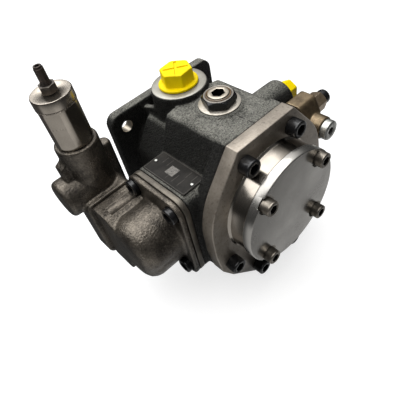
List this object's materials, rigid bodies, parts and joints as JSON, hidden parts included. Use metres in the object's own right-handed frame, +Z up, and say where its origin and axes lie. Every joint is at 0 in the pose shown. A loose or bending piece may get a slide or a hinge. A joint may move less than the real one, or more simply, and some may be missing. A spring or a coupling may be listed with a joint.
{
  "type": "vane pump",
  "caption": "Variable-displacement vane pump with a four-bolt square flange, drive shaft, side control-piston housing with a pressure controller, flow valve and plugged ports.",
  "frame": {"origin": "centre of the drive shaft's end face", "axes": "+Y along the drive shaft towards its free end, +Z up towards the suction port, +X towards the pressure port"},
  "size_m": [0.3205, 0.2721, 0.2827],
  "materials": {
    "cast_paint": "satin dark grey paint over a sand casting",
    "bare_casting": "bare oiled casting",
    "cover_plate_steel": "bare oiled plate",
    "satin_disc": "satin turned",
    "black_oxide": "black oxide",
    "zinc_screw": "zinc plated",
    "yellow_plastic": "satin moulded",
    "passivated_brown": "yellow passivated",
    "machined_steel": "machined",
    "bright_zinc": "bright zinc",
    "nameplate_dark": "satin etched plate",
    "bronze": "machined bronze",
    "rubber": "matte"
  },
  "bodies": {
    "housing": {"bearing_cover": "satin_disc", "bearing_cover_screw_1": "zinc_screw", "bearing_cover_screw_2": "zinc_screw", "bearing_cover_screw_3": "zinc_screw", "bearing_cover_screw_4": "zinc_screw", "control_piston_housing": "bare_casting", "controller_body": "bare_casting", "end_cover": "cover_plate_steel", "end_cover_screw_1": "black_oxide", "end_cover_screw_2": "black_oxide", "end_cover_screw_3": "black_oxide", "end_cover_screw_4": "black_oxide", "end_cover_screw_5": "black_oxide", "end_cover_screw_6": "black_oxide", "front_bush": "bronze", "front_control_plate": "bronze", "height_adjust_seal_washer": "machined_steel", "nameplate": "nameplate_dark", "nameplate_rivet_1": "bright_zinc", "nameplate_rivet_2": "bright_zinc", "piston_housing_screw_1": "black_oxide", "piston_housing_screw_2": "black_oxide", "piston_housing_screw_3": "black_oxide", "piston_housing_screw_4": "black_oxide", "piston_spring": "machined_steel", "pressure_spring": "machined_steel", "pump_housing": "cast_paint", "rear_bush": "bronze", "rear_control_plate": "bronze", "shaft_seal": "rubber", "side_valve_body": "passivated_brown", "side_valve_plug": "bright_zinc", "spacer_plate": "bare_casting", "spring_sleeve": "machined_steel"},
    "shaft": {"drive_shaft": "machined_steel", "shaft_key": "machined_steel", "rotor": "machined_steel", "vane_1": "machined_steel", "vane_2": "machined_steel", "vane_3": "machined_steel", "vane_4": "machined_steel", "vane_5": "machined_steel", "vane_6": "machined_steel", "vane_7": "machined_steel", "vane_8": "machined_steel", "vane_9": "machined_steel"},
    "ring": {"stator_ring": "machined_steel"},
    "large_piston": {"large_control_piston": "machined_steel"},
    "small_piston": {"small_control_piston": "machined_steel"},
    "spool": {"control_spool": "machined_steel"},
    "seat": {"spring_seat": "machined_steel"},
    "set_screw": {"pressure_set_screw": "black_oxide"},
    "set_nut": {"pressure_lock_nut": "black_oxide"},
    "height_screw": {"height_adjust_screw": "machined_steel"},
    "height_nut": {"height_adjust_lock_nut": "black_oxide"},
    "flow_screw": {"side_valve_screw": "machined_steel"},
    "flow_nut": {"side_valve_lock_nut": "zinc_screw"},
    "flow_cap": {"side_valve_cap": "black_oxide"},
    "suction_plug": {"suction_port_plug": "yellow_plastic"},
    "pressure_plug": {"pressure_port_plug": "yellow_plastic"}
  },
  "joints": [
    {"name": "shaft_spin", "type": "hinge", "parent": "housing", "child": "shaft", "pos_m": [0, 0, 0], "axis": [0, 1, 0], "continuous": true},
    {"name": "ring_stroke", "type": "slide", "parent": "housing", "child": "ring", "axis": [1, 0, 0], "range_m": [-0.005, 0], "stiffness_N_per_m": 8000, "deforming": ["piston_spring"]},
    {"name": "large_piston_stroke", "type": "slide", "parent": "housing", "child": "large_piston", "axis": [1, 0, 0], "range_m": [-0.005, 0]},
    {"name": "small_piston_stroke", "type": "slide", "parent": "housing", "child": "small_piston", "axis": [1, 0, 0], "range_m": [-0.005, 0]},
    {"name": "spool_shift", "type": "slide", "parent": "housing", "child": "spool", "axis": [0, 0, 1], "range_m": [0, 0.003], "stiffness_N_per_m": 4000, "deforming": ["pressure_spring"]},
    {"name": "seat_travel", "type": "slide", "parent": "housing", "child": "seat", "axis": [0, 0, 1], "range_m": [-0.006, 0.006], "deforming": ["pressure_spring"]},
    {"name": "set_screw_turn", "type": "hinge", "parent": "seat", "child": "set_screw", "pos_m": [-0.1195, -0.094, 0.14], "axis": [0, 0, 1], "range_deg": [-1740, 1740]},
    {"name": "set_nut_turn", "type": "hinge", "parent": "housing", "child": "set_nut", "pos_m": [-0.1195, -0.094, 0.146], "axis": [0, 0, 1], "range_deg": [0, 180]},
    {"name": "height_screw_turn", "type": "hinge", "parent": "housing", "child": "height_screw", "pos_m": [0.003, -0.1717, 0.09], "axis": [0, 0, 1], "range_deg": [-180, 180]},
    {"name": "height_nut_turn", "type": "hinge", "parent": "housing", "child": "height_nut", "pos_m": [0.003, -0.1717, 0.093], "axis": [0, 0, 1], "range_deg": [0, 180]},
    {"name": "flow_screw_turn", "type": "hinge", "parent": "housing", "child": "flow_screw", "pos_m": [0.13, -0.188, 0.0116], "axis": [1, 0, 0], "range_deg": [-360, 360]},
    {"name": "flow_nut_turn", "type": "hinge", "parent": "housing", "child": "flow_nut", "pos_m": [0.138, -0.188, 0.0116], "axis": [1, 0, 0], "range_deg": [0, 180]},
    {"name": "flow_cap_pull", "type": "slide", "parent": "housing", "child": "flow_cap", "axis": [1, 0, 0], "range_m": [0, 0.015]},
    {"name": "suction_plug_pull", "type": "slide", "parent": "housing", "child": "suction_plug", "axis": [0, 0, 1], "range_m": [0, 0.03]},
    {"name": "pressure_plug_pull", "type": "slide", "parent": "housing", "child": "pressure_plug", "axis": [1, 0, 0], "range_m": [0, 0.025]}
  ],
  "couplings": [
    {"joint": "large_piston_stroke", "follows": "ring_stroke", "ratio": 1},
    {"joint": "small_piston_stroke", "follows": "ring_stroke", "ratio": 1},
    {"joint": "set_screw_turn", "follows": "seat_travel", "rad_per_m": 5026.5}
  ]
}
